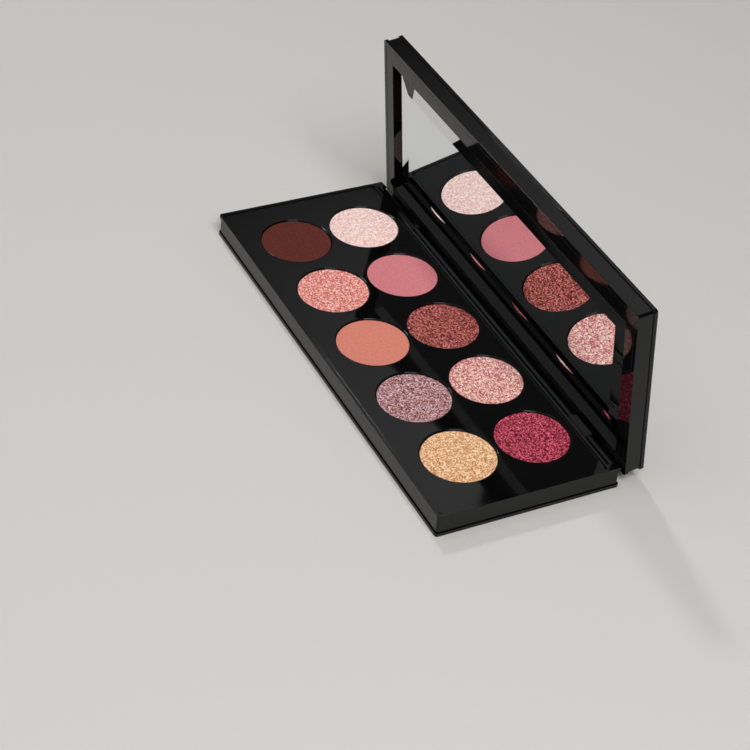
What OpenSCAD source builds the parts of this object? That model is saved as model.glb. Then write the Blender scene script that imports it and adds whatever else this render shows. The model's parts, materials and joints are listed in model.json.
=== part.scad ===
// Hinged eyeshadow palette: a tray of ten round pans and a mirrored lid.
// The frame's origin is the centre of the tray's underside, +Z up, +Y towards the hinge.
// The lid is drawn closed and then turned about the hinge axis to lid_angle.

/* [Case] */
// Length of the case along the hinge
case_l = 182; // [178:1:190]
// Depth of the case from its front edge to its hinge edge
case_d = 71; // [70:1:74]
// Height of the tray, from underside to rim
base_h = 8.9; // [8.9:0.1:11]
// Thickness of the lid
lid_t = 7.4; // [7.4:0.1:9]
// Height of the line between the closed lid and the tray's rim
seam = 0.3; // [0.2:0.05:0.5]
// Radius of the case's upright corners
corner_r = 1; // [0.5:0.1:2]
// How far the side walls stand back from the four lips
wall_inset = 0.4; // [0.2:0.1:0.6]
// Height of each lip round the case
lip_h = 1.3; // [1:0.1:1.6]
// Thickness of the moulded side walls
wall = 1.4; // [1.2:0.1:1.6]

/* [Pans] */
// Distance between pan centres along a row
pitch_x = 32.9; // [32:0.1:33.5]
// Distance between the two rows of pan centres
pitch_y = 28.7; // [28.2:0.1:29]
// Outer diameter of a metal pan
pan_d = 27; // [25:0.1:27]
// Height of a metal pan
pan_h = 4.4; // [3.5:0.1:4.6]
// Thickness of the pan's sheet metal
pan_t = 0.25; // [0.2:0.05:0.5]
// How far the pan's rim lies below the deck's face
pan_drop = 0.25; // [0.1:0.05:0.5]
// How far the powder lies below the pan's rim
powder_drop = 0.2; // [0.1:0.05:0.5]
// Thickness of the glue under each pan
glue_t = 0.15; // [0.1:0.05:0.2]

/* [Mirror] */
// Length of the mirror
mirror_l = 162.6; // [150:0.1:164]
// Depth of the mirror
mirror_d = 52.4; // [48:0.1:54]
// Distance from the case's centre line to the mirror's, towards the hinge
mirror_shift = 0.9; // [0:0.1:1.2]
// Thickness of the mirror glass
mirror_t = 1.6; // [1.2:0.1:1.8]
// Width of the bevel round the mirror
bevel_w = 6; // [2:0.5:10]
// How much thinner the glass is at the bevel's outer edge
bevel_drop = 0.3; // [0.2:0.1:0.8]
// Width of the slope between the mirror and the lid's flat edge
slope_w = 2.7; // [1.5:0.1:2.8]
// Depth of the mirror's face below the lid's flat edge
mirror_drop = 2; // [1.8:0.1:2.3]

/* [Hinge] */
// Angle of the lid from closed
lid_angle = 83; // [0:1:105]
// Distance from the case's rear edge in to the hinge axis
axis_in = 2; // [1.9:0.05:2.2]
// Height of the hinge axis above the underside
axis_z = 5.7; // [5.6:0.05:5.8]
// Distance from the middle of the case to each hinge lug
lug_x = 65.5; // [60:0.5:70]
// Length of each hinge lug along the axis
lug_l = 11.4; // [8:0.1:14]
// Radius of the lug's round end
lug_r = 1.7; // [1.6:0.05:1.8]
// Diameter of the steel hinge pins
pin_d = 1.2; // [1:0.1:1.2]
// Running clearance of the pin in the lug, on the radius
pin_clear = 0.05; // [0.02:0.01:0.08]

/* [Trim] */
// Length of the metal bar on the lid
plaque_l = 34; // [20:1:60]
// Width of the metal bar on the lid
plaque_w = 7.6; // [5:0.1:12]
// Length of the label under the tray
label_l = 52; // [30:1:60]
// Width of the label under the tray
label_w = 30; // [20:1:40]

/* [Hidden] */
ROWS = ["front", "rear"];
PER_ROW = 5;
$fn = 48;

lacquer = [0.02, 0.02, 0.022];
steel = [0.7, 0.7, 0.72];
dark_tin = [0.16, 0.16, 0.165];
gold = [0.85, 0.62, 0.28];
dry_glue = [0.9, 0.88, 0.8];
black_paper = [0.12, 0.12, 0.12];
silvered_glass = [0.8, 0.82, 0.85];
foam = [0.85, 0.85, 0.8];
shades = [
    [[0.26, 0.11, 0.10], [0.80, 0.47, 0.43], [0.77, 0.43, 0.36], [0.58, 0.41, 0.42], [0.84, 0.65, 0.44]],
    [[0.87, 0.73, 0.69], [0.72, 0.43, 0.45], [0.50, 0.25, 0.24], [0.82, 0.58, 0.55], [0.53, 0.17, 0.24]]
];

// used all over
fit = 0.15;                              // gap round a piece that drops into a pocket
over = 1;                                // how far a cutting shape reaches past what it cuts
inner_r = 0.5;                           // radius of upright corners inside the case
inner_l = case_l - 2 * (wall_inset + wall);
inner_d = case_d - 2 * (wall_inset + wall);

// tray
floor_t = 1.4;
rim_w = 1.2;
rim_rise = 0.3;                          // the rim stands this far above the deck's face
rear_rib_w = 0.8;
gutter_y = case_d / 2 - 4.5;             // front edge of the lowered strip over the hinge
gutter_z = base_h - 1.7;
end_w = 3;                               // thickness of the end walls beside the lowered strip
rear_r = 1.5;                            // radius of the end walls' top rear corners
cavity_rear = gutter_y - rear_rib_w;
deck_z = base_h - rim_rise;
deck_t = 1.2;
deck_front = -case_d / 2 + rim_w + fit;
deck_rear = cavity_rear - fit;
deck_half_l = case_l / 2 - rim_w - fit;
deck_corner = 1.6;
well_gap = 0.12;
well_r = pan_d / 2 + well_gap;
well_wall = 0.7;
well_floor = 0.8;
pan_top = deck_z - pan_drop;
pan_z = pan_top - pan_h;
glue_z = pan_z - glue_t;
glue_margin = 1;
well_z = glue_z - well_floor;
push_hole_d = 7;
plate_t = 0.9;
plate_gap = 2;                           // between the weight plate and the side walls
plate_corner = 2;

// magnets
magnet = [12, 3, 2];
magnet_corner = 0.4;
magnet_gap = 0.1;
magnet_x = 1.5 * pitch_x;
magnet_y = -case_d / 2 + 4;
magnet_z = 5;
plinth = [13.2, 3.4];
plinth_gap = [1, 2];                     // between a plinth and its notch in the weight plate

// lid, closed
lid_z = base_h + seam;
lid_top = lid_z + lid_t;
panel_drop = 0.3;
panel_t = 0.9;
panel_rim = 1;
panel_z = lid_top - panel_drop - panel_t;
roof_t = 1;
roof_z = panel_z - roof_t;
frame_gap = 0.1;
frame_skin = 1.1;
frame_inset = 0.05;                      // the frame lies this far inside the lid's lip
frame_z = lid_z + frame_inset;
mirror_z = frame_z + mirror_drop;
ledge = 0.1;                             // step between the slope and the outer edge of the glass
slope_h = mirror_drop + bevel_drop - ledge;
tape_t = 0.1;
tape_margin = 3;
tape_z = mirror_z + mirror_t;
pocket_z = tape_z + tape_t;
pocket_wall = 0.8;
plaque_t = 0.5;
plaque_sink = 0.2;
plaque_corner = 0.7;
label_t = 0.1;
label_sink = 0.2;
label_x = 45;
label_corner = 2;

// hinge
axis_y = case_d / 2 - axis_in;
lug_slot = lug_l + 0.6;
slot_floor = 3.3;
slot_gap = 0.3;                          // between the lug's round end and the front of its slot
boss_l = 6;
boss_r = 2;
lug_reach = 1.6;                         // the lug's arm stands this far to each side of the axis
notch_gap = 0.2;                         // between the lug's arm and the mirror's frame
hinge_l = lug_slot + 2 * boss_l;
pin_sink = 0.5;
trough_d = 2.3;                          // groove along the front of the lowered strip
trough_h = 0.6;

// --- shapes used by several pieces ---

module plan(l, d, r) {
    square([l, d - 2 * r], center = true);
    square([l - 2 * r, d], center = true);
    for (sx = [-1, 1], sy = [-1, 1])
        translate([sx * (l / 2 - r), sy * (d / 2 - r)]) circle(r);
}

module slab(l, d, h, r = corner_r) {
    linear_extrude(h) plan(l, d, r);
}

module case_outline(h) {
    in = 2 * wall_inset;
    slab(case_l, case_d, lip_h);
    slab(case_l - in, case_d - in, h);
    translate([0, 0, h - lip_h]) slab(case_l, case_d, lip_h);
}

module at_pan(row, i) {
    x = (i - (PER_ROW + 1) / 2) * pitch_x;
    y = (row - 0.5) * pitch_y;
    translate([x, y, 0]) children();
}

module at_each_pan() {
    for (row = [0, 1], i = [1:PER_ROW]) at_pan(row, i) children();
}

module at_magnets(z) {
    for (s = [-1, 1]) translate([s * magnet_x, magnet_y, z]) children();
}

module magnet_bar() {
    slab(magnet[0], magnet[1], magnet[2], magnet_corner);
}

module along_x(r, l) {
    rotate([0, 90, 0]) cylinder(r = r, h = l, center = true);
}

module on_axis(r, l) {
    for (s = [-1, 1]) translate([s * lug_x, axis_y, axis_z]) along_x(r, l);
}

module swing() {
    translate([0, axis_y, axis_z]) rotate([-lid_angle, 0, 0]) translate([0, -axis_y, -axis_z]) children();
}

// --- tray ---

module tray_cavity() {
    translate([-inner_l / 2, -inner_d / 2, floor_t]) cube([inner_l, cavity_rear + inner_d / 2, base_h]);
    translate([-deck_half_l - fit, deck_front - fit, deck_z - deck_t])
        cube([2 * (deck_half_l + fit), deck_rear - deck_front + 2 * fit, base_h]);
}

module hinge_room() {
    roof = gutter_z - trough_h - 1;
    // lowered strip between the end walls, open to the back
    translate([end_w - case_l / 2, gutter_y, gutter_z]) cube([case_l - 2 * end_w, case_d, base_h]);
    // hollow under the lowered strip
    translate([-inner_l / 2, gutter_y, floor_t]) cube([inner_l, inner_d / 2 - gutter_y, roof - floor_t]);
}

module rear_corner() {
    y = case_d / 2 - rear_r;
    z = base_h - rear_r;
    difference() {
        translate([-case_l, y, z]) cube([2 * case_l, case_d, base_h]);
        translate([0, y, z]) along_x(rear_r, 3 * case_l);
    }
}

module trough() {
    translate([end_w - case_l / 2, gutter_y, gutter_z - trough_h])
        cube([case_l - 2 * end_w, trough_d, base_h]);
}

module hinge_boss(x) {
    front = axis_y - boss_r;
    translate([x - hinge_l / 2, front, 0]) cube([hinge_l, case_d / 2 - wall_inset - front, gutter_z]);
}

module lug_room(x) {
    translate([x - lug_slot / 2, axis_y - lug_r - slot_gap, slot_floor]) cube([lug_slot, case_d, base_h]);
}

module base_shell() {
    color(lacquer) difference() {
        union() {
            difference() {
                case_outline(base_h);
                tray_cavity();
                hinge_room();
                rear_corner();
            }
            for (s = [-1, 1]) hinge_boss(s * lug_x);
            at_magnets(0) slab(plinth[0], plinth[1], magnet_z, inner_r);
        }
        trough();
        for (s = [-1, 1]) lug_room(s * lug_x);
        on_axis(pin_d / 2, hinge_l + over);
        translate([label_x, 0, -over])
            slab(label_l + 2 * fit, label_w + 2 * fit, over + label_sink, label_corner);
    }
}

module weight_plate() {
    d = cavity_rear + inner_d / 2 - 2 * plate_gap;
    mid = (cavity_rear - inner_d / 2) / 2;
    color(steel) difference() {
        translate([0, mid, floor_t]) slab(inner_l - 2 * plate_gap, d, plate_t, plate_corner);
        at_magnets(0) slab(plinth[0] + plinth_gap[0], plinth[1] + plinth_gap[1], magnet_z, inner_r);
    }
}

module deck() {
    d = deck_rear - deck_front;
    mid = (deck_rear + deck_front) / 2;
    color(lacquer) difference() {
        union() {
            translate([0, mid, deck_z - deck_t]) slab(2 * deck_half_l, d, deck_t, deck_corner);
            at_each_pan() translate([0, 0, well_z])
                cylinder(r = well_r + well_wall, h = deck_z - deck_t / 2 - well_z);
        }
        at_each_pan() translate([0, 0, glue_z]) cylinder(r = well_r, h = base_h);
        at_each_pan() cylinder(d = push_hole_d, h = base_h);
    }
}

module pan_glue() {
    color(dry_glue) at_each_pan() translate([0, 0, glue_z]) difference() {
        cylinder(d = pan_d - 2 * glue_margin, h = glue_t);
        translate([0, 0, -over]) cylinder(d = push_hole_d + 2 * glue_margin, h = glue_t + 2 * over);
    }
}

module base_magnets() {
    color(steel) at_magnets(magnet_z) magnet_bar();
}

module hinge_pin(side) {
    color(steel) translate([side * lug_x, axis_y, axis_z]) along_x(pin_d / 2, hinge_l - 2 * pin_sink);
}

module underside_label() {
    color(black_paper) translate([label_x, 0, label_sink - label_t])
        slab(label_l, label_w, label_t, label_corner);
}

module pan(row, i) {
    color(dark_tin) at_pan(row, i) translate([0, 0, pan_z]) difference() {
        cylinder(d = pan_d, h = pan_h);
        translate([0, 0, pan_t]) cylinder(d = pan_d - 2 * pan_t, h = pan_h);
    }
}

module powder(row, i) {
    h = pan_h - pan_t - powder_drop;
    color(shades[row][i - 1]) at_pan(row, i) translate([0, 0, pan_z + pan_t])
        cylinder(d = pan_d - 2 * pan_t, h = h);
}

// --- lid ---

module lug_arm(x) {
    translate([x - lug_l / 2, axis_y - lug_reach, axis_z])
        cube([lug_l, 2 * lug_reach, lid_z + lip_h - axis_z]);
}

module lid_shell() {
    lid_plinth_z = frame_z + frame_skin + magnet[2] + 2 * magnet_gap;
    color(lacquer) swing() difference() {
        union() {
            difference() {
                translate([0, 0, lid_z]) case_outline(lid_t);
                translate([0, 0, lid_z - over]) slab(inner_l, inner_d, roof_z - lid_z + over, inner_r);
                translate([0, 0, panel_z])
                    slab(case_l - 2 * panel_rim, case_d - 2 * panel_rim, lid_t, inner_r);
            }
            on_axis(lug_r, lug_l);
            for (s = [-1, 1]) lug_arm(s * lug_x);
            at_magnets(lid_plinth_z) slab(plinth[0], plinth[1], roof_z + roof_t / 2 - lid_plinth_z, inner_r);
        }
        on_axis(pin_d / 2 + pin_clear, lug_l + over);
    }
}

module lid_panel() {
    in = 2 * (panel_rim + fit);
    color(lacquer) swing() difference() {
        translate([0, 0, panel_z]) slab(case_l - in, case_d - in, panel_t, inner_r);
        translate([0, 0, panel_z + panel_t - plaque_sink])
            slab(plaque_l + 2 * fit, plaque_w + 2 * fit, over, plaque_corner + fit);
    }
}

module lid_plaque() {
    color(gold) swing() translate([0, 0, panel_z + panel_t - plaque_sink])
        slab(plaque_l, plaque_w, plaque_t, plaque_corner);
}

module block(l, d, z, h) {
    translate([-l / 2, mirror_shift - d / 2, z]) cube([l, d, h]);
}

module crossed() {
    // the solid that has child 0 as its outline from the front and child 1 from the side
    intersection() {
        rotate([90, 0, 0]) linear_extrude(2 * case_d, center = true) children(0);
        rotate([90, 0, 90]) linear_extrude(2 * case_l, center = true) children(1);
    }
}

module slope_outline(half, mid) {
    low = frame_z + slope_h;
    wide = half + slope_w;
    polygon([[mid - half, low], [mid + half, low], [mid + wide, frame_z], [mid + wide, frame_z - over],
             [mid - wide, frame_z - over], [mid - wide, frame_z]]);
}

module glass_outline(half, mid) {
    back = mirror_z + mirror_t;
    edge = mirror_z + bevel_drop;
    flat = half - bevel_w;
    polygon([[mid - half, back], [mid + half, back], [mid + half, edge],
             [mid + flat, mirror_z], [mid - flat, mirror_z], [mid - half, edge]]);
}

module mirror_frame() {
    notch_y = axis_y - lug_reach - notch_gap;
    color(lacquer) swing() difference() {
        union() {
            translate([0, 0, frame_z])
                slab(inner_l - 2 * frame_gap, inner_d - 2 * frame_gap, frame_skin, inner_r);
            block(mirror_l + 2 * slope_w, mirror_d + 2 * slope_w, frame_z, pocket_z + pocket_wall - frame_z);
        }
        crossed() {
            slope_outline(mirror_l / 2, 0);
            slope_outline(mirror_d / 2, mirror_shift);
        }
        block(mirror_l, mirror_d, frame_z, pocket_z - frame_z);
        for (s = [-1, 1]) translate([s * lug_x - lug_slot / 2, notch_y, frame_z - over])
            cube([lug_slot, case_d, frame_skin + 2 * over]);
    }
}

module mirror() {
    color(silvered_glass) swing() crossed() {
        glass_outline(mirror_l / 2 - fit, 0);
        glass_outline(mirror_d / 2 - fit, mirror_shift);
    }
}

module mirror_tape() {
    color(foam) swing() block(mirror_l - 2 * tape_margin, mirror_d - 2 * tape_margin, tape_z, tape_t);
}

module lid_magnets() {
    color(steel) swing() at_magnets(frame_z + frame_skin + magnet_gap) magnet_bar();
}

base_shell();
weight_plate();
deck();
pan_glue();
base_magnets();
hinge_pin(-1);  // left_hinge_pin
hinge_pin(1);  // right_hinge_pin
underside_label();
for (row = [0, 1], i = [1:PER_ROW]) {
    pan(row, i);
    powder(row, i);
}
lid_shell();
lid_panel();
lid_plaque();
mirror_frame();
mirror();
mirror_tape();
lid_magnets();
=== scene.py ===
"""Finished pieces of a hinged eyeshadow palette, modelled round its fixed frame.

Lengths are in metres. Pieces of the lid are shaped with the lid closed and then opened about the hinge.
"""

import json
import math

import bmesh
import bpy
from bpy.props import FloatProperty, FloatVectorProperty, IntProperty, PointerProperty
from mathutils import Matrix, Vector, noise


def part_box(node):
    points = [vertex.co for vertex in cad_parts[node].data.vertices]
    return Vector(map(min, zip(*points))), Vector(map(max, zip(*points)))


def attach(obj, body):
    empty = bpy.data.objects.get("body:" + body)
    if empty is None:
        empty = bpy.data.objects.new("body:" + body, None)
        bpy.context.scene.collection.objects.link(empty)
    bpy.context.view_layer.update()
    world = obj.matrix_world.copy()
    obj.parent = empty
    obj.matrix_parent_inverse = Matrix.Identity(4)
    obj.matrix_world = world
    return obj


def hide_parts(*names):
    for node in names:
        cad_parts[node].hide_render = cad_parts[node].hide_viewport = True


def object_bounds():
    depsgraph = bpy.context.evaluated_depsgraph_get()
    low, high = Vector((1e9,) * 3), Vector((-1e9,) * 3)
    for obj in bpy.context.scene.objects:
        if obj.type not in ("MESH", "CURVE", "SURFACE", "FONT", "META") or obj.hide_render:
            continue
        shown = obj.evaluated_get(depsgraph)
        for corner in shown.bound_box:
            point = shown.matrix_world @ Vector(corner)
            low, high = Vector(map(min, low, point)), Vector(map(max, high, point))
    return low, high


bl_info = {
    "name": "Eyeshadow palette",
    "version": (1, 0, 0),
    "blender": (4, 5, 0),
    "location": "3D View > Sidebar > Palette",
    "description": "Models the finished pieces of a hinged eyeshadow palette round its fixed frame",
    "category": "Object",
}

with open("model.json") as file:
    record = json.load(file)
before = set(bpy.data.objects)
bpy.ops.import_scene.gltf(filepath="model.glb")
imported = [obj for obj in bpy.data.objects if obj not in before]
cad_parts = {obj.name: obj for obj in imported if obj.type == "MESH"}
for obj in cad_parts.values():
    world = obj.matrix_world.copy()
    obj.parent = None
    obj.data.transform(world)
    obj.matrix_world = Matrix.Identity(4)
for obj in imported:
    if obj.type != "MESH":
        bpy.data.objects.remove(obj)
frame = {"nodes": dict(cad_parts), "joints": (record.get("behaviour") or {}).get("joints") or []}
CAD_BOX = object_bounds()

MM = 0.001
ROWS = ("front", "rear")
PER_ROW = 5
PANS = [f"{row}_{i}" for row in ROWS for i in range(1, PER_ROW + 1)]
MERGE_DISTANCE = 1e-6
FLAT_ANGLE = math.radians(1)
CORNER_STEPS = 8
ROUND_STEPS = 4
BAND, FLAT_FRONT = 1, 2
GROOVE_DEPTH = 0.6  # of half the groove's width
FACE_RINGS = 10
FACE_REACH = 0.98  # how far the rings reach, of the way to the groove
WAVE = 7 * MM
WAVE_SHIFT = 3.7
PIN_SEGMENTS = 32
PIN_DOME = 0.35  # of the pin's radius
LABEL_ROUND = 0.02 * MM
CAMERA_AIM = Vector((5.4, -15.0, -2.5)) * MM
GLOSS_PLACE = Vector((-1.01, 0.38, 0.96))
GLOSS_FACING = Vector((0.616, -0.414, -0.669))
GLOSS_SPREAD = math.radians(24)
PANEL_SIDE = 0.6
SKY = ((0.0, 0.5), (0.2, 0.3), (0.42, 0.1), (0.6, 0.03))  # height, brightness

HINGE = frame["joints"][0]
HINGE_PLACE = Matrix.Translation(HINGE["pos_m"])
OPEN_TURN = Matrix.Rotation(-math.radians(HINGE["range_deg"][0]), 4, Vector(HINGE["axis"]))
OPEN_LID = HINGE_PLACE @ OPEN_TURN @ HINGE_PLACE.inverted()


# Settings


def length(name, description, default, highest):
    """A size that a user may change."""
    return FloatProperty(
        name=name,
        description=description,
        default=default,
        min=0,
        max=highest,
        precision=5,
        subtype="DISTANCE",
        unit="LENGTH",
    )


def display_colour(red, green, blue):
    """Turns a screen colour's 0 to 255 numbers into the linear values that shaders use."""
    shares = [channel / 255 for channel in (red, green, blue)]
    return [s / 12.92 if s <= 0.04045 else ((s + 0.055) / 1.055) ** 2.4 for s in shares]


def colour(name, description, *channels):
    """A colour that a user may change, given as a screen shows it."""
    return FloatVectorProperty(
        name=name,
        description=description,
        default=display_colour(*channels),
        min=0,
        max=1,
        subtype="COLOR",
    )


TONES = ("darkest", "middle", "palest")
# The palest tone of each shimmer and glitter powder is partly the pale flakes' own colour and partly painted
# glints of light on them.
SHADES = {
    "front_1": ("Espresso", (84, 38, 32), (90, 43, 37), (98, 50, 44)),
    "front_2": ("Coral", (188, 90, 84), (222, 121, 110), (255, 210, 200)),
    "front_3": ("Peach", (203, 122, 106), (208, 127, 111), (214, 134, 117)),
    "front_4": ("Silver mauve", (110, 44, 46), (174, 104, 101), (222, 196, 202)),
    "front_5": ("Gold", (188, 120, 72), (222, 164, 117), (255, 228, 188)),
    "rear_1": ("Pale pink", (226, 172, 160), (236, 198, 188), (255, 242, 240)),
    "rear_2": ("Rose", (196, 115, 121), (201, 121, 127), (207, 128, 133)),
    "rear_3": ("Copper brown", (76, 23, 24), (126, 47, 45), (214, 126, 116)),
    "rear_4": ("Pink gold", (186, 72, 94), (220, 134, 130), (255, 230, 212)),
    "rear_5": ("Raspberry", (84, 10, 30), (140, 34, 52), (232, 100, 124)),
}


class CaseSettings(bpy.types.PropertyGroup):
    """Sizes and colours of the moulded case."""

    edge_round: length("Edge round", "Radius along the edges of the tray and the lid", 0.28 * MM, 0.3 * MM)
    frame_round: length("Frame round", "Radius along the edges of the mirror's frame", 0.1 * MM, 0.2 * MM)
    panel_round: length("Panel round", "Radius along the top edge of the lid's panel", 0.15 * MM, 0.3 * MM)
    panel_corner: length("Panel corner", "Radius of the panel's upright corners", 0.5 * MM, 2 * MM)
    bar_fit: length("Bar gap", "Gap between the metal bar and its pocket in the panel", 0.12 * MM, 0.2 * MM)
    bar_sink: length("Bar pocket", "Depth of the metal bar's pocket in the panel", 0.2 * MM, 0.4 * MM)
    bar_corner: length("Bar corner", "Radius of the upright corners of the metal bar", 0.7 * MM, 2 * MM)
    bar_border: length("Bar border", "Width of the raised border on the metal bar", 0.55 * MM, 2 * MM)
    bar_round: length("Bar round", "Radius along the metal bar's top edge", 0.1 * MM, 0.3 * MM)
    bar_hollow: length("Bar hollow", "Depth of the metal bar's middle below its border", 0.14 * MM, 0.3 * MM)
    label_corner: length("Label corner", "Radius of the corners of the label under the tray", 2 * MM, 5 * MM)
    lacquer: colour("Lacquer", "Colour of the glossy black case", 7, 7, 8)
    gold: colour("Gold", "Colour of the metal bar", 232, 188, 112)
    label: colour("Label", "Colour of the label under the tray", 44, 43, 44)


class DeckSettings(bpy.types.PropertyGroup):
    """Sizes of the deck and its wells."""

    plate: length("Plate", "Thickness of the deck between its wells", 1.2 * MM, 2 * MM)
    corner: length("Corner", "Radius of the deck's upright corners", 1.6 * MM, 3 * MM)
    edge_round: length("Edge round", "Radius along the deck's top edge", 0.15 * MM, 0.3 * MM)
    rim_round: length("Rim round", "Radius round the mouth of each well", 0.22 * MM, 0.4 * MM)
    well_gap: length("Well gap", "Gap between a pan and the wall of its well", 0.12 * MM, 0.3 * MM)
    well_wall: length("Well wall", "Thickness of a well's wall", 0.7 * MM, 1.5 * MM)
    push_hole: length("Push hole", "Radius of the hole under each pan", 3.5 * MM, 6 * MM)
    segments: IntProperty(
        name="Segments",
        description="Sides of each round piece",
        default=96,
        min=48,
        max=160,
    )


class PanSettings(bpy.types.PropertyGroup):
    """Sizes of the metal pans and the pressed powder."""

    sheet: length("Sheet", "Thickness of a pan's sheet metal", 0.25 * MM, 0.4 * MM)
    fold: length("Fold", "Outer radius where a pan's floor meets its wall", 0.6 * MM, 1.5 * MM)
    shoulder: length("Shoulder", "Radius of the powder's top edge", 0.22 * MM, 0.5 * MM)
    groove_in: length("Groove place", "From the powder's edge in to its groove", 0.62 * MM, 2 * MM)
    groove: length("Groove", "Half the width of the pressed groove", 0.11 * MM, 0.3 * MM)
    relief: length("Relief", "Height of the slow waves in the powder's face", 0.012 * MM, 0.05 * MM)
    metal: colour("Pan metal", "Colour of the coated metal pans", 52, 51, 52)


class MirrorSettings(bpy.types.PropertyGroup):
    """Sizes and colours of the bevelled mirror."""

    bevel: length("Bevel", "Width of the bevel round the mirror", 6 * MM, 10 * MM)
    bevel_drop: length("Bevel drop", "How much thinner the bevel's outer edge is", 0.3 * MM, 0.8 * MM)
    bevel_turn: FloatProperty(
        name="Bevel turn",
        description="Angle by which the glass of the bevel turns what the silver behind it shows",
        default=math.radians(11.6),
        min=0,
        max=math.radians(20),
        subtype="ANGLE",
        unit="ROTATION",
    )
    silver: colour("Silver", "Colour of the mirror", 243, 245, 246)


class ShadeSettings(bpy.types.PropertyGroup):
    """Colours of the ten pressed powders: for each, its darkest, middle and palest tones; the palest tones
    of the shimmers and glitters also hold painted glints.
    """

    __annotations__ = {
        f"{pan}_{tone}": colour(f"{title}, {tone}", f"The {tone} tone of this powder", *channels)
        for pan, (title, *tones) in SHADES.items()
        for tone, channels in zip(TONES, tones)
    }


class StageSettings(bpy.types.PropertyGroup):
    """The floor, the lights and the camera."""

    floor: colour("Floor", "Colour of the floor", 205, 203, 200)
    floor_side: length("Floor side", "Side of the square floor", 8, 20)
    key_power: FloatProperty(
        name="Key power",
        description="Power of the soft light high on the right",
        default=13,
        min=0,
        unit="POWER",
    )
    fill_power: FloatProperty(
        name="Fill power",
        description="Power of the large soft light over the front",
        default=6,
        min=0,
        unit="POWER",
    )
    gloss_power: FloatProperty(
        name="Gloss power",
        description="Power of the dim panel whose reflection lies on the deck",
        default=0.013,
        min=0,
        precision=4,
        unit="POWER",
    )
    edge_power: FloatProperty(
        name="Edge power",
        description="Power of the small light whose reflection lines the front edges",
        default=3.6,
        min=0,
        unit="POWER",
    )
    mirror_power: FloatProperty(
        name="Mirrored deck glow",
        description="Power of the faint soft light that the deck shows in the mirror",
        default=0.45,
        min=0,
        unit="POWER",
    )
    camera_distance: length("Camera distance", "From the camera to the point that it looks at", 0.75, 5)
    camera_turn: FloatProperty(
        name="Camera turn",
        description="Direction of the camera round the case, from its front towards its right",
        default=math.radians(59.43),
        subtype="ANGLE",
        unit="ROTATION",
    )
    camera_height: FloatProperty(
        name="Camera height",
        description="Angle of the camera above the horizon",
        default=math.radians(38.69),
        subtype="ANGLE",
        unit="ROTATION",
    )
    camera_roll: FloatProperty(
        name="Camera roll",
        description="Turn of the camera about its own line of sight",
        default=math.radians(6.76),
        subtype="ANGLE",
        unit="ROTATION",
    )
    lens: FloatProperty(name="Lens", description="Focal length of the camera", default=99.98, unit="CAMERA")


# Shapes


def ring_edges(verts):
    """The edges that join these vertices to each other."""
    known = set(verts)
    return [e for e in {e for v in verts for e in v.link_edges} if known.issuperset(e.verts)]


def circle(bm, centre, radius, height, segments):
    """A closed run of edges round a circle."""
    place = Matrix.Translation((centre.x, centre.y, height))
    made = bmesh.ops.create_circle(bm, segments=segments, radius=radius, matrix=place)
    return ring_edges(made["verts"])


def rounded_outline(bm, low, high, radius, height):
    """A closed run of edges round a rectangle with round corners."""
    half_step = math.pi / (4 * CORNER_STEPS)
    turn = Matrix.Rotation(half_step, 4, "Z")
    reach_radius = radius / math.cos(half_step)
    made = bmesh.ops.create_circle(bm, segments=4 * CORNER_STEPS, radius=reach_radius, matrix=turn)
    middle = (low + high) / 2
    for v in made["verts"]:
        v.co.x = middle.x + v.co.x + math.copysign((high.x - low.x) / 2 - radius, v.co.x)
        v.co.y = middle.y + v.co.y + math.copysign((high.y - low.y) / 2 - radius, v.co.y)
        v.co.z = height
    return ring_edges(made["verts"])


def extend(bm, edges, place):
    """Extrudes a closed run of edges, puts each new corner where place says, and returns the new run."""
    made = bmesh.ops.extrude_edge_only(bm, edges=edges)["geom"]
    fresh = [part for part in made if isinstance(part, bmesh.types.BMVert)]
    for v in fresh:
        v.co = place(v.co)
    return ring_edges(fresh)


def on_circle(centre, radius, height):
    """A place for extend: straight out from the centre to a new radius and height."""

    def place(co):
        out = Vector((co.x - centre.x, co.y - centre.y)).normalized() * radius
        return Vector((centre.x + out.x, centre.y + out.y, height))

    return place


def off_outline(centre, out, height):
    """A place for extend: the whole outline grown outwards by out, at a new height."""

    def place(co):
        x = co.x + math.copysign(out, co.x - centre.x)
        y = co.y + math.copysign(out, co.y - centre.y)
        return Vector((x, y, height))

    return place


def quarter_round(radius):
    """Steps round a quarter circle that starts level and ends upright: how far along, and how far down."""
    turns = [math.pi / 2 * step / ROUND_STEPS for step in range(1, ROUND_STEPS + 1)]
    return [(radius * math.sin(turn), radius * (1 - math.cos(turn))) for turn in turns]


def round_outline_down(bm, edges, centre, radius, top):
    """Carries the edge of a flat face round a quarter circle and returns the run at its upright end."""
    last = 0
    for along, down in quarter_round(radius):
        edges = extend(bm, edges, off_outline(centre, along - last, top - down))
        last = along
    return edges


def fill(bm, *runs):
    """A flat face inside closed runs of edges: the first is its outside and the rest are holes."""
    bmesh.ops.triangle_fill(bm, use_beauty=True, use_dissolve=False, edges=[e for run in runs for e in run])


def spun(profile, centre, segments):
    """A solid of revolution about an upright line from a profile of (radius, height) corners."""
    bm = bmesh.new()
    verts = [bm.verts.new((centre.x + radius, centre.y, height)) for radius, height in profile]
    edges = [bm.edges.new(pair) for pair in zip(verts, verts[1:])]
    bmesh.ops.spin(
        bm,
        geom=verts + edges,
        cent=centre,
        axis=(0, 0, 1),
        angle=2 * math.pi,
        steps=segments,
        use_merge=True,
    )
    bmesh.ops.remove_doubles(bm, verts=bm.verts, dist=MERGE_DISTANCE)
    return bm


def rounded_slab(low, high, corner, edge_round):
    """An upright slab with round corners and a rounded top edge, and its open top's run of edges."""
    bm = bmesh.new()
    middle = (low + high) / 2
    inset = Vector((edge_round, edge_round, 0))
    top = rounded_outline(bm, low + inset, high - inset, corner, high.z)
    side = round_outline_down(bm, top, middle, edge_round, high.z)
    foot = extend(bm, side, off_outline(middle, 0, low.z))
    fill(bm, foot)
    return bm, top


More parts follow.
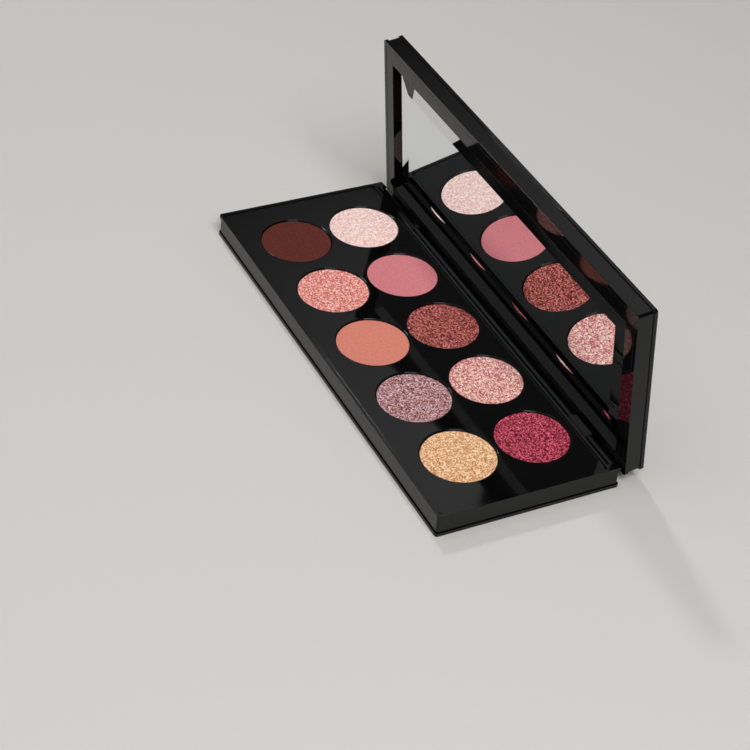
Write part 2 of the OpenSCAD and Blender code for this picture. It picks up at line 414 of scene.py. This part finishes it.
def merged_copy(node):
    """The frame node's shape as one welded mesh with each flat side a single face."""
    bm = bmesh.new()
    bm.from_mesh(frame["nodes"][node].data)
    bmesh.ops.remove_doubles(bm, verts=bm.verts, dist=MERGE_DISTANCE)
    bmesh.ops.dissolve_limit(
        bm, angle_limit=FLAT_ANGLE, use_dissolve_boundaries=False, verts=bm.verts, edges=bm.edges
    )
    return bm


def closed_box(node):
    """Lowest and highest corner of a lid node with the lid closed."""
    shut = OPEN_LID.inverted()
    places = [shut @ v.co for v in frame["nodes"][node].data.vertices]
    low = Vector([min(p[axis] for p in places) for axis in range(3)])
    high = Vector([max(p[axis] for p in places) for axis in range(3)])
    return low, high


def add_piece(bm, name, body, material, node, opened=False):
    """Makes a shape into a piece that rides on a body and stands for a node of the frame."""
    bmesh.ops.recalc_face_normals(bm, faces=bm.faces)
    if opened:
        bmesh.ops.transform(bm, matrix=OPEN_LID, verts=bm.verts)
    mesh = bpy.data.meshes.new(name)
    bm.to_mesh(mesh)
    bm.free()
    mesh.shade_smooth()
    mesh.materials.append(material)
    piece = bpy.data.objects.new(name, mesh)
    bpy.context.scene.collection.objects.link(piece)
    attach(piece, body)
    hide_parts(node)
    return piece


def soften_edges(piece, radius):
    """Rounds a piece's sharp edges, and keeps its flat sides shading flat."""
    if radius:
        bevel = piece.modifiers.new("edge_round", "BEVEL")
        bevel.width = radius
        bevel.segments = 3
        bevel.limit_method = "ANGLE"
        bevel.angle_limit = math.radians(35)
        bevel.use_clamp_overlap = True
    flat = piece.modifiers.new("flat_sides", "WEIGHTED_NORMAL")
    flat.weight = 80


# Finishes


def feed(tree, node, inputs):
    """Sets a node's sockets to constants, or links them to other nodes' outputs."""
    for name, value in dict(inputs).items():
        if isinstance(value, bpy.types.NodeSocket):
            tree.links.new(value, node.inputs[name])
        else:
            node.inputs[name].default_value = value


def add_node(tree, kind, inputs=(), **settings):
    """A shader node with its settings and sockets filled in."""
    node = tree.nodes.new(kind)
    for name, value in settings.items():
        setattr(node, name, value)
    feed(tree, node, inputs)
    return node


def new_finish(name, inputs):
    """A material, its node tree, its surface shader, and the coordinates that its patterns follow."""
    material = bpy.data.materials.new(name)
    material.use_nodes = True
    tree = material.node_tree
    surface = tree.nodes["Principled BSDF"]
    feed(tree, surface, inputs)
    place = add_node(tree, "ShaderNodeTexCoord").outputs["Object"]
    return material, tree, surface, place


def rgba(values):
    """A colour with full opacity."""
    return (*values, 1)


def tinted(values, share):
    """A colour made darker."""
    return [v * share for v in values]


def clouds(tree, place, size, detail=2, roughness=0.5):
    """Soft random patches of about that size."""
    inputs = {"Vector": place, "Scale": 1 / size, "Detail": detail, "Roughness": roughness}
    return add_node(tree, "ShaderNodeTexNoise", inputs).outputs["Fac"]


def cells(tree, place, size):
    """A random colour for each grain of about that size."""
    inputs = {"Vector": place, "Scale": 1 / size}
    return add_node(tree, "ShaderNodeTexVoronoi", inputs).outputs["Color"]


def spread(tree, value, low, high, to_low, to_high):
    """Stretches a value from one range to another."""
    inputs = {"Value": value, "From Min": low, "From Max": high, "To Min": to_low, "To Max": to_high}
    return add_node(tree, "ShaderNodeMapRange", inputs).outputs["Result"]


def ramp(tree, value, stops):
    """Colours along a value from (position, colour) stops."""
    node = add_node(tree, "ShaderNodeValToRGB", {"Fac": value})
    elements = node.color_ramp.elements
    while len(elements) < len(stops):
        elements.new(0.5)
    for element, (position, shade) in zip(elements, stops):
        element.position = position
        element.color = rgba(shade)
    return node.outputs["Color"]


def bump(tree, height, distance, strength=1.0):
    """A normal from a height pattern of that depth."""
    inputs = {"Height": height, "Distance": distance, "Strength": strength}
    return add_node(tree, "ShaderNodeBump", inputs).outputs["Normal"]


def mixed(tree, share, first, second):
    """The first colour, or as far as share says, the second."""
    factor, colour_a, colour_b, colour_out = 0, 6, 7, 2
    inputs = {factor: share, colour_a: first, colour_b: second}
    return add_node(tree, "ShaderNodeMix", inputs, data_type="RGBA").outputs[colour_out]


def vector_maths(tree, operation, inputs):
    """One sum on vectors."""
    return add_node(tree, "ShaderNodeVectorMath", inputs, operation=operation).outputs["Vector"]


def maths(tree, operation, first, second=0.0):
    """One sum on two values."""
    return add_node(tree, "ShaderNodeMath", {0: first, 1: second}, operation=operation).outputs["Value"]


def lacquer_finish(name, base):
    """Polished black plastic: near mirror gloss with faint moulding waves and wiped-off smears."""
    material, tree, surface, place = new_finish(name, {"IOR": 1.38})
    smears = spread(tree, clouds(tree, place, 22 * MM, 4), 0.35, 0.7, 0.03, 0.08)
    depth = clouds(tree, place, 9 * MM, 3)
    feed(
        tree,
        surface,
        {
            "Base Color": ramp(tree, depth, [(0.3, tinted(base, 0.7)), (0.7, base)]),
            "Roughness": smears,
            "Normal": bump(tree, clouds(tree, place, 3 * MM, 1), 0.002 * MM, 0.35),
        },
    )
    return material


def metal_finish(name, base, roughness, grain, stretch=(1, 1, 1)):
    """Bare metal with a fine grain that may run one way."""
    material, tree, surface, place = new_finish(name, {"Metallic": 1.0})
    run = add_node(tree, "ShaderNodeMapping", {"Vector": place, "Scale": stretch}).outputs["Vector"]
    lines = clouds(tree, run, grain, 4, 0.6)
    patches = clouds(tree, place, 12 * MM, 2)
    shade = ramp(tree, patches, [(0.3, tinted(base, 0.88)), (0.7, base)])
    feed(
        tree,
        surface,
        {
            "Base Color": shade,
            "Roughness": spread(tree, lines, 0.3, 0.7, roughness * 0.75, roughness * 1.3),
            "Normal": bump(tree, lines, 0.01 * MM, 0.5),
        },
    )
    return material


def mirror_finish(name, base):
    """Silvered glass, with a trace of haze."""
    material, tree, surface, place = new_finish(name, {"Metallic": 1.0})
    haze = clouds(tree, place, 30 * MM, 3)
    feed(
        tree,
        surface,
        {
            "Base Color": ramp(tree, haze, [(0.3, tinted(base, 0.96)), (0.7, base)]),
            "Roughness": spread(tree, haze, 0.3, 0.7, 0.004, 0.012),
        },
    )
    return material


def dull_finish(name, base, roughness, grain, depth, contrast=0.85):
    """Paper, glue, tape and other plain dull stuff with a visible grain."""
    material, tree, surface, place = new_finish(name, {})
    fibres = clouds(tree, place, grain, 5, 0.65)
    feed(
        tree,
        surface,
        {
            "Base Color": ramp(tree, fibres, [(0.3, tinted(base, contrast)), (0.7, base)]),
            "Roughness": spread(tree, fibres, 0.3, 0.7, roughness * 0.9, min(1, roughness * 1.1)),
            "Normal": bump(tree, fibres, depth, 0.6),
        },
    )
    return material


class Powder:
    """How one kind of pressed powder is made up."""

    def __init__(self, clump, flake, clumping, flecks_and_glints, lean, roughness, metal, pits, gloss):
        self.clump = clump  # size of the soft clumps
        self.flake = flake  # size of the single flakes
        self.clumping = clumping  # how far the clumps, rather than the flakes, set the tone
        # The flakes given the palest tone outright are pale flecks and also painted glints of light.
        self.flecks_and_glints = flecks_and_glints  # share of the flakes that have the palest tone anyway
        self.lean = lean  # how far the flakes lie out of the face
        self.roughness = roughness
        self.metal = metal
        self.pits = pits  # depth of the face's texture
        self.gloss = gloss  # how strongly the flakes shine


MATTE = Powder(
    clump=0.9 * MM,
    flake=0.12 * MM,
    clumping=0.7,
    flecks_and_glints=0.02,
    lean=0.05,
    roughness=0.95,
    metal=0.0,
    pits=0.012 * MM,
    gloss=0.08,
)
SATIN = Powder(
    clump=0.7 * MM,
    flake=0.34 * MM,
    clumping=0.6,
    flecks_and_glints=0.05,
    lean=0.3,
    roughness=0.5,
    metal=0.1,
    pits=0.02 * MM,
    gloss=0.2,
)
SHIMMER = Powder(
    clump=0.75 * MM,
    flake=0.42 * MM,
    clumping=0.5,
    flecks_and_glints=0.06,
    lean=0.5,
    roughness=0.45,
    metal=0.15,
    pits=0.04 * MM,
    gloss=0.15,
)
GLITTER = Powder(
    clump=0.85 * MM,
    flake=0.38 * MM,
    clumping=0.4,
    flecks_and_glints=0.08,
    lean=0.8,
    roughness=0.4,
    metal=0.3,
    pits=0.07 * MM,
    gloss=0.15,
)
KINDS = {
    "front_1": MATTE,
    "front_2": SHIMMER,
    "front_3": MATTE,
    "front_4": GLITTER,
    "front_5": SHIMMER,
    "rear_1": SATIN,
    "rear_2": MATTE,
    "rear_3": SHIMMER,
    "rear_4": GLITTER,
    "rear_5": GLITTER,
}


def powder_finish(pan, tones):
    """Pressed powder: clumps and flakes of slightly different shades, each flake lying its own way; the
    palest flakes are partly painted glints.
    """
    kind = KINDS[pan]
    darkest, middle, palest = tones
    material, tree, surface, place = new_finish(f"powder_{pan}", {"Specular IOR Level": kind.gloss})
    clumps = spread(tree, clouds(tree, place, kind.clump, 3, 0.75), 0.34, 0.66, 0, 1)
    flakes = cells(tree, place, kind.flake)
    parts = add_node(tree, "ShaderNodeSeparateColor", {"Color": flakes}).outputs
    from_clumps = maths(tree, "MULTIPLY", clumps, kind.clumping)
    from_flakes = maths(tree, "MULTIPLY", parts["Red"], 1 - kind.clumping)
    tone = maths(tree, "ADD", from_clumps, from_flakes)
    # The ramp runs from the darkest to the palest tone; its palest end is partly painted glints on the
    # flakes.
    body = ramp(tree, tone, [(0.24, darkest), (0.5, middle), (0.76, palest)])
    # Some flakes take the palest tone outright: pale flecks that are partly painted glints.
    is_fleck_and_glint = maths(tree, "GREATER_THAN", parts["Green"], 1 - kind.flecks_and_glints)
    shade = mixed(tree, is_fleck_and_glint, body, rgba(palest))
    centred = vector_maths(tree, "SUBTRACT", {0: flakes, 1: (0.5, 0.5, 0.5)})
    tilt = vector_maths(tree, "SCALE", {0: centred, "Scale": kind.lean})
    leaning = vector_maths(tree, "ADD", {0: bump(tree, tone, kind.pits, 0.7), 1: tilt})
    roughness = spread(tree, parts["Blue"], 0, 1, kind.roughness * 0.8, min(1, kind.roughness * 1.2))
    inputs = {
        "Base Color": shade,
        "Roughness": roughness,
        "Normal": vector_maths(tree, "NORMALIZE", {0: leaning}),
    }
    if kind.metal:
        inputs["Metallic"] = spread(tree, parts["Blue"], 0, 1, kind.metal * 0.5, kind.metal * 1.5)
    feed(tree, surface, inputs)
    return material


def finish_named(name, make, *details):
    """The material of that name, made the first time that it is asked for."""
    return bpy.data.materials.get(name) or make(name, *details)


def case_lacquer(context):
    """The case's black lacquer."""
    return finish_named("black_lacquer", lacquer_finish, list(context.scene.eyeshadow_case.lacquer))


# Operators


class EYESHADOW_OT_tray(bpy.types.Operator):
    """Round the edges of the moulded tray and give it its lacquer"""

    bl_idname = "eyeshadow.tray"
    bl_label = "Tray"

    def execute(self, context):
        case = context.scene.eyeshadow_case
        shape = merged_copy("base_shell")
        tray = add_piece(shape, "tray", "base", case_lacquer(context), "base_shell")
        soften_edges(tray, case.edge_round)
        return {"FINISHED"}


class EYESHADOW_OT_deck(bpy.types.Operator):
    """Shape the deck with its ten wells"""

    bl_idname = "eyeshadow.deck"
    bl_label = "Deck"

    def execute(self, context):
        deck = context.scene.eyeshadow_deck
        low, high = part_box("deck")
        middle = (low + high) / 2
        bm = bmesh.new()
        inset = Vector((deck.edge_round, deck.edge_round, 0))
        top = rounded_outline(bm, low + inset, high - inset, deck.corner, high.z)
        side = round_outline_down(bm, top, middle, deck.edge_round, high.z)
        foot = extend(bm, side, off_outline(middle, 0, high.z - deck.plate))
        mouths, sockets = [], []
        for pan in PANS:
            mouth, socket = self.add_well(bm, deck, pan, low.z, high.z)
            mouths.append(mouth)
            sockets.append(socket)
        fill(bm, top, *mouths)
        fill(bm, foot, *sockets)
        piece = add_piece(bm, "deck_plate", "base", case_lacquer(context), "deck")
        soften_edges(piece, 0)
        return {"FINISHED"}

    def add_well(self, bm, deck, pan, bottom, top):
        """One well: returns the run of edges round its mouth and the run where its wall meets the plate."""
        pan_low, pan_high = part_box(f"pan_{pan}")
        glue_low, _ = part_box("pan_glue")
        centre = (pan_low + pan_high) / 2
        radius = (pan_high.x - pan_low.x) / 2 + deck.well_gap
        mouth = circle(bm, centre, radius + deck.rim_round, top, deck.segments)
        run = mouth
        for along, down in quarter_round(deck.rim_round):
            run = extend(bm, run, on_circle(centre, radius + deck.rim_round - along, top - down))
        for reach, height in (
            (radius, glue_low.z),
            (deck.push_hole, glue_low.z),
            (deck.push_hole, bottom),
            (radius + deck.well_wall, bottom),
            (radius + deck.well_wall, top - deck.plate),
        ):
            run = extend(bm, run, on_circle(centre, reach, height))
        return mouth, run


class EYESHADOW_OT_pans(bpy.types.Operator):
    """Spin the ten metal pans"""

    bl_idname = "eyeshadow.pans"
    bl_label = "Pans"

    def execute(self, context):
        pans = context.scene.eyeshadow_pans
        metal = finish_named("pan_metal", metal_finish, list(pans.metal), 0.12, 0.5 * MM, (1, 1, 0.1))
        for pan in PANS:
            low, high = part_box(f"pan_{pan}")
            radius = (high.x - low.x) / 2
            profile = self.pan_profile(radius, low.z, high.z, pans.sheet, pans.fold)
            shape = spun(profile, (low + high) / 2, context.scene.eyeshadow_deck.segments)
            piece = add_piece(shape, f"metal_pan_{pan}", "base", metal, f"pan_{pan}")
            soften_edges(piece, 0)
        return {"FINISHED"}

    def pan_profile(self, radius, bottom, top, sheet, fold):
        """A pressed cup: floor, folded foot, wall and rounded rim, outside and then inside."""
        half = sheet / 2
        inner_fold = fold - sheet
        outside = [(radius - fold + along, bottom + down) for along, down in quarter_round(fold)]
        turns = [math.pi * step / (2 * ROUND_STEPS) for step in range(2 * ROUND_STEPS + 1)]
        rim = [(radius - half + half * math.cos(a), top - half + half * math.sin(a)) for a in turns]
        inside = [
            (radius - fold + along, bottom + sheet + down) for along, down in quarter_round(inner_fold)
        ]
        start = [(0, bottom), (radius - fold, bottom)]
        end = [(radius - fold, bottom + sheet), (0, bottom + sheet)]
        return start + outside + rim + inside[::-1] + end


class EYESHADOW_OT_powders(bpy.types.Operator):
    """Press the ten powders into their pans"""

    bl_idname = "eyeshadow.powders"
    bl_label = "Powders"

    def execute(self, context):
        pans = context.scene.eyeshadow_pans
        shades = context.scene.eyeshadow_shades
        for number, pan in enumerate(PANS):
            low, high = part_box(f"powder_{pan}")
            radius = (high.x - low.x) / 2
            profile = self.powder_profile(pans, radius, low.z, high.z)
            shape = spun(profile, (low + high) / 2, context.scene.eyeshadow_deck.segments)
            self.add_relief(shape, high.z, pans, number)
            finish = powder_finish(pan, [list(getattr(shades, f"{pan}_{tone}")) for tone in TONES])
            node = f"powder_{pan}"
            piece = add_piece(shape, f"pressed_{node}", "base", finish, node)
            soften_edges(piece, 0)
        return {"FINISHED"}

    def powder_profile(self, pans, radius, bottom, top):
        """A cake of powder: a face with a pressed groove near its edge, and a rounded shoulder."""
        fold = pans.fold - pans.sheet
        foot = [(radius - fold + along, bottom + down) for along, down in quarter_round(fold)]
        shoulder = [
            (radius - pans.shoulder + along, top - down) for along, down in quarter_round(pans.shoulder)
        ]
        groove = radius - pans.groove_in
        face = [
            (radius - pans.shoulder, top),
            (groove + pans.groove, top),
            (groove, top - pans.groove * GROOVE_DEPTH),
            (groove - pans.groove, top),
        ]
        reach = groove * FACE_REACH
        face += [(reach * (FACE_RINGS - ring) / FACE_RINGS, top) for ring in range(FACE_RINGS)]
        return [(0, bottom), (radius - fold, bottom)] + foot + shoulder[::-1] + face + [(0, top)]

    def add_relief(self, bm, top, pans, number):
        """Slow waves in the powder's face, different in each pan."""
        apart = Vector((0, 0, WAVE_SHIFT * number))
        for v in bm.verts:
            if v.co.z >= top - MERGE_DISTANCE:
                v.co.z -= pans.relief * (1 + noise.noise(v.co / WAVE + apart))


class EYESHADOW_OT_lid(bpy.types.Operator):
    """Shape the lid, its glossy panel and the metal bar on it"""

    bl_idname = "eyeshadow.lid"
    bl_label = "Lid"

    def execute(self, context):
        case = context.scene.eyeshadow_case
        shape = merged_copy("lid_shell")
        lid = add_piece(shape, "lid_cover", "lid", case_lacquer(context), "lid_shell")
        soften_edges(lid, case.edge_round)
        self.add_panel(context, case)
        self.add_bar(case)
        return {"FINISHED"}

    def add_panel(self, context, case):
        """The inset panel, with a pocket for the metal bar."""
        low, high = closed_box("lid_panel")
        bar_low, bar_high = closed_box("lid_plaque")
        shape, top = rounded_slab(low, high, case.panel_corner, case.panel_round)
        gap = Vector((case.bar_fit, case.bar_fit, 0))
        corner = case.bar_corner + case.bar_fit
        mouth = rounded_outline(shape, bar_low - gap, bar_high + gap, corner, high.z)
        floor = extend(shape, mouth, off_outline((bar_low + bar_high) / 2, 0, high.z - case.bar_sink))
        fill(shape, top, mouth)
        fill(shape, floor)
        lacquer = case_lacquer(context)
        panel = add_piece(shape, "lid_gloss_panel", "lid", lacquer, "lid_panel", True)
        soften_edges(panel, 0)

    def add_bar(self, case):
        """A plain gold bar with a raised border."""
        low, high = closed_box("lid_plaque")
        middle = (low + high) / 2
        gold = finish_named("brushed_gold", metal_finish, list(case.gold), 0.2, 0.35 * MM, (0.06, 1, 1))
        shape, top = rounded_slab(low, high, case.bar_corner, case.bar_round)
        inner = extend(shape, top, off_outline(middle, case.bar_round - case.bar_border, high.z))
        slope = extend(shape, inner, off_outline(middle, -case.bar_hollow, high.z - case.bar_hollow))
        fill(shape, slope)
        bar = add_piece(shape, "lid_gold_bar", "lid", gold, "lid_plaque", True)
        soften_edges(bar, 0)


class EYESHADOW_OT_mirror(bpy.types.Operator):
    """Set the bevelled mirror in its frame"""

    bl_idname = "eyeshadow.mirror"
    bl_label = "Mirror"

    def execute(self, context):
        case = context.scene.eyeshadow_case
        settings = context.scene.eyeshadow_mirror
        shape = merged_copy("mirror_frame")
        frame_piece = add_piece(
            shape, "mirror_surround", "lid", case_lacquer(context), "mirror_frame"
        )
        soften_edges(frame_piece, case.frame_round)
        self.add_glass(settings)
        return {"FINISHED"}

    def add_glass(self, settings):
        """The mirror: a block whose front has a wide bevel along each side."""
        low, high = closed_box("mirror")
        size = high - low
        place = Matrix.Translation(((low.x + high.x) / 2, (low.y + high.y) / 2, high.z))
        stretch = Matrix.Diagonal((size.x / 2, size.y / 2, 1, 1))
        bm = bmesh.new()
        marked = bm.faces.layers.int.new("bevel_band")
        bmesh.ops.create_grid(bm, x_segments=1, y_segments=1, size=1, matrix=place @ stretch)
        back = list(bm.faces)
        made = bmesh.ops.extrude_face_region(bm, geom=back, use_keep_orig=True)["geom"]
        front = [part for part in made if isinstance(part, bmesh.types.BMFace)]
        corners = {v for face in front for v in face.verts}
        bmesh.ops.translate(bm, vec=(0, 0, settings.bevel_drop - size.z), verts=list(corners))
        bmesh.ops.recalc_face_normals(bm, faces=bm.faces)
        band = bmesh.ops.inset_region(
            bm,
            faces=front,
            thickness=settings.bevel,
            depth=settings.bevel_drop,
            use_even_offset=True,
        )["faces"]
        for face in band:
            face[marked] = BAND
        for face in front:
            face[marked] = FLAT_FRONT
        silver = finish_named("mirror_silver", mirror_finish, list(settings.silver))
        piece = add_piece(bm, "bevelled_mirror", "lid", silver, "mirror", True)
        self.turn_band(piece.data, settings.bevel_turn)

    def turn_band(self, mesh, angle):
        """Leans each band's shading, since its wedge of glass bends what the silver behind it shows."""
        marks = mesh.attributes["bevel_band"].data
        front = next(face for face in mesh.polygons if marks[face.index].value == FLAT_FRONT)
        normals = [face.normal.copy() for face in mesh.polygons]
        for face in mesh.polygons:
            if marks[face.index].value == BAND:
                inward = front.center - face.center
                sides = [mesh.vertices[b].co - mesh.vertices[a].co for a, b in face.edge_keys]
                inward -= inward.project(max(sides, key=lambda side: side.length))
                inward -= inward.project(front.normal)
                lean = inward.normalized() * math.tan(angle)
                normals[face.index] = (front.normal + lean).normalized()
        mesh.normals_split_custom_set([normals[p.index] for p in mesh.polygons for _ in p.loop_indices])


class EYESHADOW_OT_hardware(bpy.types.Operator):
    """Turn the hinge pins and lay the label under the tray"""

    bl_idname = "eyeshadow.hardware"
    bl_label = "Hinge pins and label"

    def execute(self, context):
        case = context.scene.eyeshadow_case
        steel = finish_named("pin_steel", metal_finish, (0.6, 0.6, 0.62), 0.22, 0.3 * MM, (0.1, 1, 1))
        for side in ("left", "right"):
            self.add_pin(side, steel)
        low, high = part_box("underside_label")
        shape, top = rounded_slab(low, high, case.label_corner, LABEL_ROUND)
        fill(shape, top)
        paper = finish_named("label_paper", dull_finish, list(case.label), 0.6, 0.4 * MM, 0.01 * MM)
        label = add_piece(shape, "blank_label", "base", paper, "underside_label")
        soften_edges(label, 0)
        return {"FINISHED"}

    def add_pin(self, side, steel):
        """A straight pin with domed ends."""
        low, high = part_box(f"{side}_hinge_pin")
        middle = (low + high) / 2
        radius = (high.z - low.z) / 2
        half = (high.x - low.x) / 2
        dome = PIN_DOME * radius
        ends = [(0, half), *((radius - dome + along, half - down) for along, down in quarter_round(dome))]
        profile = ends + [(reach, -height) for reach, height in reversed(ends)]
        shape = spun(profile, Vector(), PIN_SEGMENTS)
        place = Matrix.Translation(middle) @ Matrix.Rotation(math.pi / 2, 4, "Y")
        bmesh.ops.transform(shape, matrix=place, verts=shape.verts)
        pin = add_piece(shape, f"{side}_steel_pin", "base", steel, f"{side}_hinge_pin")
        soften_edges(pin, 0)


class EYESHADOW_OT_inner(bpy.types.Operator):
    """Give the hidden pieces of the frame their finishes"""

    bl_idname = "eyeshadow.inner"
    bl_label = "Inner pieces"

    def execute(self, context):
        plated = finish_named("magnet_nickel", metal_finish, (0.66, 0.65, 0.63), 0.18, 0.6 * MM)
        finishes = {
            "weight_plate": ("rolled_steel", metal_finish, (0.5, 0.5, 0.51), 0.38, 0.5 * MM, (0.05, 1, 1)),
            "pan_glue": ("dry_glue", dull_finish, (0.78, 0.74, 0.62), 0.35, 0.8 * MM, 0.05 * MM),
            "mirror_tape": ("foam_tape", dull_finish, (0.75, 0.75, 0.72), 0.8, 0.3 * MM, 0.03 * MM),
        }
        for node, details in finishes.items():
            self.paint(node, finish_named(*details))
        for node in ("base_magnets", "lid_magnets"):
            self.paint(node, plated)
        return {"FINISHED"}

    def paint(self, node, material):
        """Puts a material in each of a frame node's slots."""
        for slot in frame["nodes"][node].material_slots:
            slot.material = material


class EYESHADOW_OT_stage(bpy.types.Operator):
    """Lay the floor and set up the lights and the camera"""

    bl_idname = "eyeshadow.stage"
    bl_label = "Stage"

    def execute(self, context):
        settings = context.scene.eyeshadow_stage
        low, high = CAD_BOX
        middle = (low + high) / 2
        self.add_floor(settings, low.z)
        self.add_sky(context.scene)
        for name, offset, side, power in (
            ("key_light", (0.8, -0.13, 1.05), PANEL_SIDE, settings.key_power),
            ("fill_light", (-0.1, -0.5, 1.4), 1.2, settings.fill_power),
            ("edge_light", (-0.874, 0.084, 0.958), 0.12, settings.edge_power),
            ("mirror_panel", (-0.95, -0.33, 1.0), PANEL_SIDE, settings.mirror_power),
        ):
            self.add_light(name, middle + Vector(offset), -Vector(offset), side, power)
        place = middle + GLOSS_PLACE
        self.add_light("gloss_panel", place, GLOSS_FACING, PANEL_SIDE, settings.gloss_power, GLOSS_SPREAD)
        self.add_camera(context.scene, settings)
        return {"FINISHED"}

    def add_floor(self, settings, height):
        """A wide pale floor under the object."""
        bm = bmesh.new()
        bmesh.ops.create_grid(bm, x_segments=1, y_segments=1, size=settings.floor_side / 2)
        bmesh.ops.translate(bm, vec=(0, 0, height), verts=bm.verts)
        mesh = bpy.data.meshes.new("floor")
        bm.to_mesh(mesh)
        bm.free()
        shade = list(settings.floor)
        mesh.materials.append(finish_named("floor_paper", dull_finish, shade, 0.7, 2 * MM, 0, 0.985))
        floor = bpy.data.objects.new("floor", mesh)
        bpy.context.scene.collection.objects.link(floor)

    def add_sky(self, scene):
        """Soft studio light all round: pale near the floor and dim overhead, to keep the lacquer black."""
        world = bpy.data.worlds.new("studio")
        world.use_nodes = True
        tree = world.node_tree
        direction = add_node(tree, "ShaderNodeTexCoord").outputs["Generated"]
        height = add_node(tree, "ShaderNodeSeparateXYZ", {"Vector": direction}).outputs["Z"]
        sky = ramp(tree, height, [(position, (brightness,) * 3) for position, brightness in SKY])
        feed(tree, tree.nodes["Background"], {"Color": sky, "Strength": 1.0})
        scene.world = world
        scene.view_settings.view_transform = "Standard"

    def add_light(self, name, place, facing, side, power, spread_angle=math.pi):
        """A square soft light. A small spread angle makes it dimmer away from the way that it faces."""
        lamp = bpy.data.lights.new(name, "AREA")
        lamp.shape = "SQUARE"
        lamp.size = side
        lamp.energy = power
        lamp.spread = spread_angle
        light = bpy.data.objects.new(name, lamp)
        light.location = place
        light.rotation_euler = facing.to_track_quat("-Z", "Y").to_euler()
        bpy.context.scene.collection.objects.link(light)

    def add_camera(self, scene, settings):
        """A camera that looks down on the open palette from its front right."""
        turn, rise = settings.camera_turn, settings.camera_height
        back = Vector(
            (math.sin(turn) * math.cos(rise), -math.cos(turn) * math.cos(rise), math.sin(rise))
        )
        lens = bpy.data.cameras.new("camera")
        lens.lens = settings.lens
        lens.sensor_width = 36
        lens.clip_start = 0.02
        camera = bpy.data.objects.new("camera", lens)
        camera.location = CAMERA_AIM + back * settings.camera_distance
        facing = (-back).to_track_quat("-Z", "Y").to_matrix().to_4x4()
        camera.rotation_euler = (facing @ Matrix.Rotation(settings.camera_roll, 4, "Z")).to_euler()
        scene.collection.objects.link(camera)
        scene.camera = camera


# Sidebar


class EYESHADOW_PT_palette(bpy.types.Panel):
    """The palette's pieces and settings"""

    bl_idname = "EYESHADOW_PT_palette"
    bl_label = "Eyeshadow palette"
    bl_space_type = "VIEW_3D"
    bl_region_type = "UI"
    bl_category = "Palette"

    def draw(self, context):
        layout = self.layout
        for operator in OPERATORS:
            layout.operator(operator.bl_idname)
        for name, (group, title) in SETTINGS.items():
            layout.label(text=title)
            for field in group.__annotations__:
                layout.prop(getattr(context.scene, name), field)


SETTINGS = {
    "eyeshadow_case": (CaseSettings, "Case"),
    "eyeshadow_deck": (DeckSettings, "Deck"),
    "eyeshadow_pans": (PanSettings, "Pans and powder"),
    "eyeshadow_mirror": (MirrorSettings, "Mirror"),
    "eyeshadow_shades": (ShadeSettings, "Shades"),
    "eyeshadow_stage": (StageSettings, "Stage"),
}
OPERATORS = (
    EYESHADOW_OT_tray,
    EYESHADOW_OT_deck,
    EYESHADOW_OT_pans,
    EYESHADOW_OT_powders,
    EYESHADOW_OT_lid,
    EYESHADOW_OT_mirror,
    EYESHADOW_OT_hardware,
    EYESHADOW_OT_inner,
    EYESHADOW_OT_stage,
)


def register():
    """Makes the settings, operators and panel known to Blender."""
    for name, (group, _) in SETTINGS.items():
        bpy.utils.register_class(group)
        setattr(bpy.types.Scene, name, PointerProperty(type=group))
    for kind in (*OPERATORS, EYESHADOW_PT_palette):
        bpy.utils.register_class(kind)


def unregister():
    """Takes them out again."""
    for kind in (EYESHADOW_PT_palette, *reversed(OPERATORS)):
        bpy.utils.unregister_class(kind)
    for name, (group, _) in SETTINGS.items():
        delattr(bpy.types.Scene, name)
        bpy.utils.unregister_class(group)


def main():
    """Builds every piece in order."""
    register()
    for operator in OPERATORS:
        group, name = operator.bl_idname.split(".")
        getattr(getattr(bpy.ops, group), name)()


if __name__ == "__main__":
    main()
